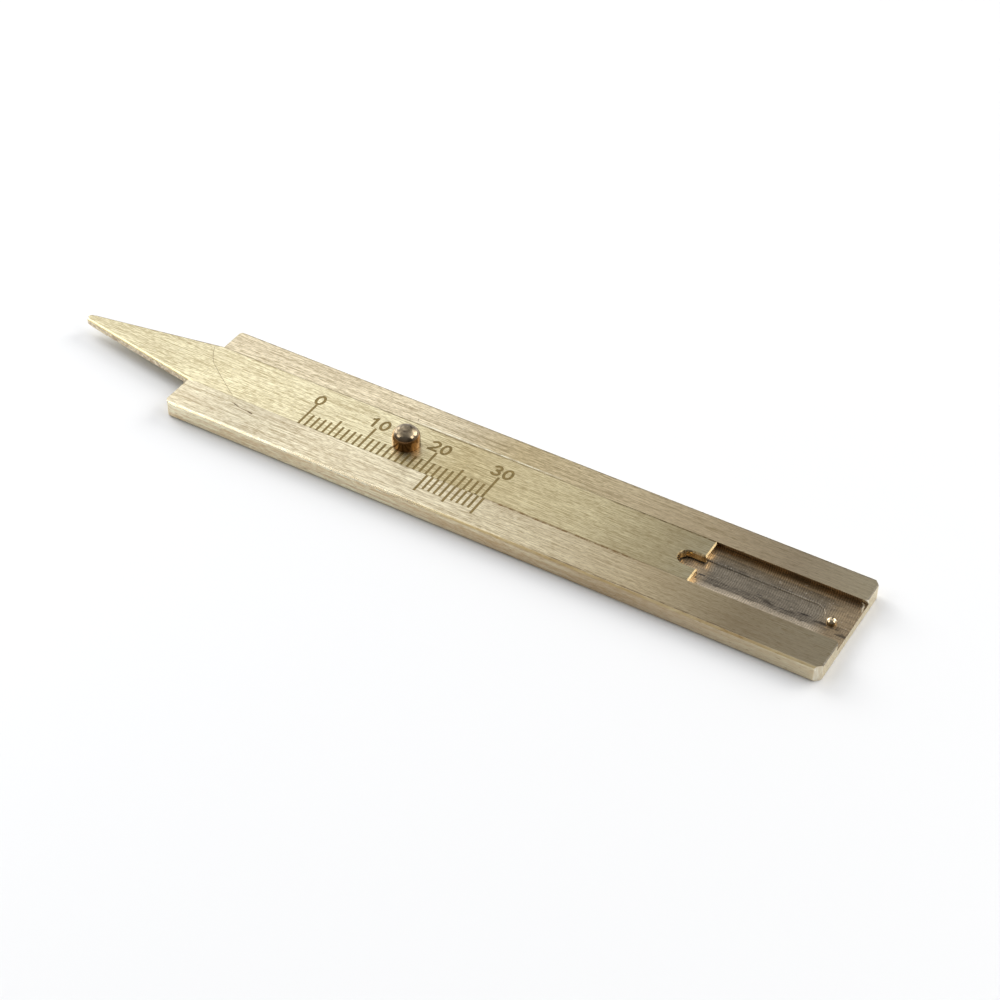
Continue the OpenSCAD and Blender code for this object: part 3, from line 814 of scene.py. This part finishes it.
# Geometry Nodes tree: a row of lines, each fifth and tenth one longer
def lineRowTree():
    tree = bpy.data.node_groups.new("lineRow", "GeometryNodeTree")
    face = tree.interface
    face.new_socket("Geometry", in_out="OUTPUT", socket_type="NodeSocketGeometry")
    kinds = {"Count": "Int", "Start": "Vector", "Fill": "Material"}
    for name in ("Count", "Start", "Pitch", "Width", "Depth", "Plain", "Five", "Ten", "Side", "Fill"):
        face.new_socket(name, in_out="INPUT", socket_type="NodeSocket" + kinds.get(name, "Float"))
    given = put(tree, "NodeGroupInput").outputs
    step = put(tree, "ShaderNodeCombineXYZ", {0: given["Pitch"]}).outputs[0]
    inputs = {"Count": given["Count"], "Start Location": given["Start"], "Offset": step}
    row = put(tree, "GeometryNodeMeshLine", inputs, mode="OFFSET").outputs[0]
    block = put(tree, "GeometryNodeMeshCube").outputs[0]
    half = calc(tree, "MULTIPLY", given["Side"], 0.5)
    aside = put(tree, "ShaderNodeCombineXYZ", {1: half, 2: -0.5}).outputs[0]
    hung = put(tree, "GeometryNodeTransform", {"Geometry": block, "Translation": aside}).outputs[0]
    index = put(tree, "GeometryNodeInputIndex").outputs[0]
    isFive = calc(tree, "COMPARE", calc(tree, "MODULO", index, 5.0))
    isTen = calc(tree, "COMPARE", calc(tree, "MODULO", index, 10.0))
    fives = put(tree, "ShaderNodeMix", {0: isFive, 2: given["Plain"], 3: given["Five"]}).outputs[0]
    length = put(tree, "ShaderNodeMix", {0: isTen, 2: fives, 3: given["Ten"]}).outputs[0]
    size = put(tree, "ShaderNodeCombineXYZ", {0: given["Width"], 1: length, 2: given["Depth"]}).outputs[0]
    inputs = {"Points": row, "Instance": hung, "Scale": size}
    lines = put(tree, "GeometryNodeInstanceOnPoints", inputs).outputs[0]
    real = put(tree, "GeometryNodeRealizeInstances", {0: lines}).outputs[0]
    filled = put(tree, "GeometryNodeSetMaterial", {"Geometry": real, "Material": given["Fill"]}).outputs[0]
    put(tree, "NodeGroupOutput", {0: filled})
    return tree


def lineRow(name, tree, values, body):
    maker = newPiece(name + "Maker", bpy.data.meshes.new(name + "Maker"), [])
    modifier = maker.modifiers.new("lineRow", "NODES")
    modifier.node_group = tree
    for item in tree.interface.items_tree:
        if item.item_type == "SOCKET" and item.in_out == "INPUT":
            modifier[item.identifier] = values[item.name]
    made = evaluated(maker)
    made.name = name
    bpy.data.objects.remove(maker)
    piece = newPiece(name, made, [])
    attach(piece, body)


# millimetres, each row with the lengths of its plain, fifth and tenth lines
markShape = {"recess": 0.012, "depth": 0.046, "width": 0.38, "edgeClear": 0.02}
scaleLines = {"count": 31, "pitch": 1.0, "plain": 2.53, "five": 3.48, "ten": 4.63}
vernierLines = {"count": 11, "pitch": 0.9, "plain": 2.78, "five": 3.58, "ten": 3.58}


def makeLines():
    m = markShape
    tree = lineRowTree()
    fillZ = layout["topZ"] - m["recess"]
    bladeY = layout["grooveY"] - layout["bladeWidth"] / 2 + m["edgeClear"]
    lipY = layout["grooveY"] - layout["mouthWidth"] / 2 - m["edgeClear"]
    for name, row, startX, startY, side, body, slot in (
            ("scaleLines", scaleLines, layout["scaleZeroX"], bladeY, 1.0, "blade", "blade_brass"),
            ("vernierLines", vernierLines, layout["vernierZeroX"], lipY, -1.0, "bar", "bar_brass")):
        values = {"Count": row["count"], "Start": (startX * mm, startY * mm, fillZ * mm), "Side": side,
                  "Width": m["width"] * mm, "Depth": m["depth"] * mm, "Fill": etch}
        for key in ("pitch", "plain", "five", "ten"):
            values[key.capitalize()] = row[key] * mm
        lineRow(name, tree, values, body)


def makeNumerals():
    highZ = layout["topZ"] - digitShape["recess"]
    mesh = numeralMesh("scaleNumerals", highZ - digitShape["depth"] + digitShape["fillGap"], highZ)
    mesh.materials.clear()
    piece = newPiece("scaleNumerals", mesh, [etch])
    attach(piece, "blade")


# fine marks, as (width, height of the face, points) in millimetres: scratches, pits, and pale marks that
# are a painted highlight
scuffShape = {
    "proud": 0.003, "depth": 0.01,
    "bladeScratches": [(0.055, 2.6, [(-52.16, 4.34), (-51.6, 3.3), (-50.9, 2.2), (-50.0, 1.15)]),
                       (0.055, 2.6, [(-50.05, 1.2), (-47.6, -0.6), (-45.4, -2.1), (-43.37, -3.47)]),
                       (0.08, 2.6, [(-51.6, 4.77), (-71.6, 1.20)])],
    "barScratches": [(0.07, 2.6, [(-42.55, -4.74), (-40.8, -5.2), (-39.69, -5.34), (-38.65, -5.36)]),
                     (0.15, 2.6, [(-42.1, -4.86), (-41.2, -5.1)]),
                     (0.2, 2.6, [(-39.4, -5.33), (-38.6, -5.4)]),
                     (0.06, 2.6, [(-18.03, 6.02), (-17.8, 5.39)]),
                     (0.10, 2.6, [(6.25, 8.46), (6.55, 8.52)])],
    "barPits": [(0.16, 1.3, [(37.75, 0.02), (38.5, 0.0)]), (0.16, 1.3, [(41.3, -0.79), (42.0, -0.77)]),
                (0.12, 1.3, [(43.55, -0.26), (45.75, -0.2)]), (0.26, 1.3, [(44.2, -0.28), (45.1, -0.22)]),
                (0.25, 1.3, [(29.5, -0.5), (30.4, -0.45)]), (0.12, 1.5, [(50.3, -1.3), (50.45, -1.2)])],
    # painted highlight: pale marks where the far wall's rear lead-in glints
    "barGlintMarks": [(0.2, 1.5, [(50.2, 5.45), (50.5, 5.3), (50.68, 4.95), (50.72, 4.3)]),
                 (0.12, 1.5, [(50.72, 4.35), (50.9, 3.8)])],
}


def makeScuffs():
    s = scuffShape
    for name, fill, body in (("bladeScratches", scuff, "blade"), ("barScratches", scuff, "bar"),
                             ("barPits", pit, "bar"), ("barGlintMarks", wallGlint, "bar")):
        whole = bmesh.new()
        for width, faceZ, points in s[name]:
            ribbon(whole, points, width, faceZ + s["proud"] - s["depth"], faceZ + s["proud"])
        piece = newPiece(name, finishMesh(whole, name), [fill])
        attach(piece, body)


makeLines()
makeNumerals()
makeScuffs()
print("scale ready")

# stage, in metres
stageSet = {
    "floorSize": 6.0, "floorColor": (0.888, 0.883, 0.874), "floorRough": 0.35, "floorShine": 0.25,
    "lampColor": (1.0, 0.985, 0.95),
}


def makeFloor():
    half = stageSet["floorSize"] / 2
    corners = [(-half, -half, 0), (half, -half, 0), (half, half, 0), (-half, half, 0)]
    mesh = bpy.data.meshes.new("floor")
    mesh.from_pydata(corners, [], [(0, 1, 2, 3)])
    material = bpy.data.materials.new("paleFloor")
    material.use_nodes = True
    shader = material.node_tree.nodes["Principled BSDF"]
    shader.inputs["Base Color"].default_value = color(stageSet["floorColor"])
    shader.inputs["Roughness"].default_value = stageSet["floorRough"]
    shader.inputs["Specular IOR Level"].default_value = stageSet["floorShine"]
    newPiece("floor", mesh, [material])


lampSet = {
    "left": {"place": (-0.81, 0.24, 0.44), "size": (0.45, 0.45), "power": 3.6},
    "backRight": {"place": (0.42, 0.70, 0.50), "size": (0.6, 0.5), "power": 4.2},
    "frontStrip": {"place": (-0.54, -0.40, 0.62), "size": (0.4, 0.5), "power": 1.5},
    "rightCard": {"place": (0.46, 0.05, 0.39), "size": (0.20, 0.24), "power": 0.55},
}


def makeLamps():
    for name, lamp in lampSet.items():
        data = bpy.data.lights.new(name, "AREA")
        data.shape = "RECTANGLE"
        data.size, data.size_y = lamp["size"]
        data.energy = lamp["power"]
        data.color = stageSet["lampColor"]
        light = bpy.data.objects.new(name, data)
        light.location = lamp["place"]
        light.rotation_euler = (-Vector(lamp["place"])).to_track_quat("-Z", "Y").to_euler()
        scene.collection.objects.link(light)


# a soft room, by direction: lighter behind the bar and to its left, dimmer past its rear end,
# with a dim stretch that the rear half of the bar mirrors
worldSet = {
    "front": 0.18, "frontY": -0.35, "back": 1.03, "backY": 0.25, "color": (0.96, 1.0, 1.08),
    "left": 1.38, "leftX": -0.56, "leftFade": 0.1, "right": 0.45, "rightFrom": 0.4, "rightTo": 0.8,
    "dim": 0.03, "dimColor": (1.08, 0.98, 0.84), "fromX": -0.43, "dimX": -0.22, "pastX": 0.12, "toX": 0.40,
    "dimY": 0.35, "lowZ": 0.15, "highZ": 0.95, "fadeZ": 0.2,
}


def makeRoom():
    w = worldSet
    world = bpy.data.worlds.new("studio")
    scene.world = world
    world.use_nodes = True
    tree = world.node_tree

    def ease(value, fromLow, fromHigh, toLow, toHigh):
        return remap(tree, value, fromLow, fromHigh, toLow, toHigh, "SMOOTHSTEP")

    coords = put(tree, "ShaderNodeTexCoord").outputs["Generated"]
    direction = put(tree, "ShaderNodeSeparateXYZ", {0: coords})
    x, y, z = direction.outputs[0], direction.outputs[1], direction.outputs[2]
    dim = ease(x, w["fromX"], w["dimX"], 0.0, 1.0)
    for part in (ease(x, w["pastX"], w["toX"], 1.0, 0.0),
                 ease(y, 0.0, w["dimY"], 0.0, 1.0),
                 ease(z, w["lowZ"], w["lowZ"] + w["fadeZ"], 0.0, 1.0),
                 ease(z, w["highZ"] - w["fadeZ"], w["highZ"], 1.0, 0.0)):
        dim = calc(tree, "MULTIPLY", dim, part)
    strength = ease(y, w["frontY"], w["backY"], w["front"], w["back"])
    for part in (ease(x, w["leftX"], w["fromX"] + w["leftFade"], w["left"], 1.0),
                 remap(tree, dim, 0.0, 1.0, 1.0, w["dim"]),
                 ease(x, w["rightFrom"], w["rightTo"], 1.0, w["right"])):
        strength = calc(tree, "MULTIPLY", strength, part)
    background = tree.nodes["Background"]
    tint = blend(tree, dim, color(w["color"]), color(w["dimColor"]))
    tree.links.new(tint, background.inputs["Color"])
    tree.links.new(strength, background.inputs["Strength"])


# place in millimetres, turn in degrees, clip in metres
cameraSet = {
    "place": (116.463, -203.382, 207.835), "turn": (48.4513, -0.7338, 30.6927), "lens": 82.432,
    "sensor": 36.0, "clip": 0.01,
}


def makeCamera():
    data = bpy.data.cameras.new("camera")
    data.lens = cameraSet["lens"]
    data.sensor_width = cameraSet["sensor"]
    data.clip_start = cameraSet["clip"]
    camera = bpy.data.objects.new("camera", data)
    camera.location = Vector(cameraSet["place"]) * mm
    camera.rotation_euler = Euler([math.radians(a) for a in cameraSet["turn"]], "XYZ")
    scene.collection.objects.link(camera)
    scene.camera = camera


makeFloor()
makeLamps()
makeRoom()
makeCamera()
scene.view_settings.view_transform = "Standard"
print("stage ready")
